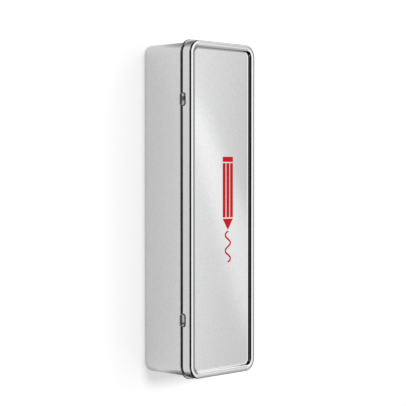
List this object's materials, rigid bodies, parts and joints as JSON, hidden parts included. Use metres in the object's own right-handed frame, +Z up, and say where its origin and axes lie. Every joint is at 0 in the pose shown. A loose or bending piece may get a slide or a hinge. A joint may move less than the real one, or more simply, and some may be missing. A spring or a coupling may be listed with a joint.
{
  "type": "pencil tin",
  "caption": "Long rectangular tinplate box with a hinged lid, rolled edges and a recessed lid panel, holding hexagonal colouring pencils in layers.",
  "frame": {"origin": "middle of the face the closed tin lies on, under the middle of its footprint", "axes": "+X along the tin towards the pencils' points, +Y towards the hinge side, +Z up out of the lid"},
  "size_m": [0.1916, 0.0562, 0.0384],
  "materials": {
    "base_tinplate": "satin tinplate, fine grain",
    "lid_tinplate": "satin tinplate, fine grain",
    "black_lacquer": "glossy black lacquer over cedar",
    "black_core": "waxy black pigment core",
    "grey_lacquer": "glossy grey lacquer over cedar",
    "grey_core": "waxy grey pigment core",
    "umber_lacquer": "glossy umber lacquer over cedar",
    "umber_core": "waxy umber pigment core",
    "brown_lacquer": "glossy brown lacquer over cedar",
    "brown_core": "waxy brown pigment core",
    "ochre_lacquer": "glossy ochre lacquer over cedar",
    "ochre_core": "waxy ochre pigment core",
    "olive_lacquer": "glossy olive lacquer over cedar",
    "olive_core": "waxy olive pigment core",
    "moss_lacquer": "glossy moss lacquer over cedar",
    "moss_core": "waxy moss pigment core",
    "turquoise_lacquer": "glossy turquoise lacquer over cedar",
    "turquoise_core": "waxy turquoise pigment core",
    "sky_lacquer": "glossy sky lacquer over cedar",
    "sky_core": "waxy sky pigment core",
    "ultramarine_lacquer": "glossy ultramarine lacquer over cedar",
    "ultramarine_core": "waxy ultramarine pigment core",
    "violet_lacquer": "glossy violet lacquer over cedar",
    "violet_core": "waxy violet pigment core",
    "pink_lacquer": "glossy pink lacquer over cedar",
    "pink_core": "waxy pink pigment core",
    "yellow_lacquer": "glossy yellow lacquer over cedar",
    "yellow_core": "waxy yellow pigment core",
    "orange_lacquer": "glossy orange lacquer over cedar",
    "orange_core": "waxy orange pigment core",
    "red_lacquer": "glossy red lacquer over cedar",
    "red_core": "waxy red pigment core",
    "purple_lacquer": "glossy purple lacquer over cedar",
    "purple_core": "waxy purple pigment core",
    "blue_lacquer": "glossy blue lacquer over cedar",
    "blue_core": "waxy blue pigment core",
    "green_lacquer": "glossy green lacquer over cedar",
    "green_core": "waxy green pigment core"
  },
  "bodies": {
    "base": {"base_shell": "base_tinplate", "black_pencil_casing": "black_lacquer", "black_pencil_core": "black_core", "grey_pencil_casing": "grey_lacquer", "grey_pencil_core": "grey_core", "umber_pencil_casing": "umber_lacquer", "umber_pencil_core": "umber_core", "brown_pencil_casing": "brown_lacquer", "brown_pencil_core": "brown_core", "ochre_pencil_casing": "ochre_lacquer", "ochre_pencil_core": "ochre_core", "olive_pencil_casing": "olive_lacquer", "olive_pencil_core": "olive_core", "moss_pencil_casing": "moss_lacquer", "moss_pencil_core": "moss_core", "turquoise_pencil_casing": "turquoise_lacquer", "turquoise_pencil_core": "turquoise_core", "sky_pencil_casing": "sky_lacquer", "sky_pencil_core": "sky_core", "ultramarine_pencil_casing": "ultramarine_lacquer", "ultramarine_pencil_core": "ultramarine_core", "violet_pencil_casing": "violet_lacquer", "violet_pencil_core": "violet_core", "pink_pencil_casing": "pink_lacquer", "pink_pencil_core": "pink_core", "yellow_pencil_casing": "yellow_lacquer", "yellow_pencil_core": "yellow_core", "orange_pencil_casing": "orange_lacquer", "orange_pencil_core": "orange_core", "red_pencil_casing": "red_lacquer", "red_pencil_core": "red_core", "purple_pencil_casing": "purple_lacquer", "purple_pencil_core": "purple_core", "blue_pencil_casing": "blue_lacquer", "blue_pencil_core": "blue_core", "green_pencil_casing": "green_lacquer", "green_pencil_core": "green_core"},
    "lid": {"lid_shell": "lid_tinplate"}
  },
  "joints": [
    {"name": "lid_hinge", "type": "hinge", "parent": "base", "child": "lid", "pos_m": [0, 0.02727, 0.03105], "axis": [-1, 0, 0], "range_deg": [0, 185]}
  ]
}
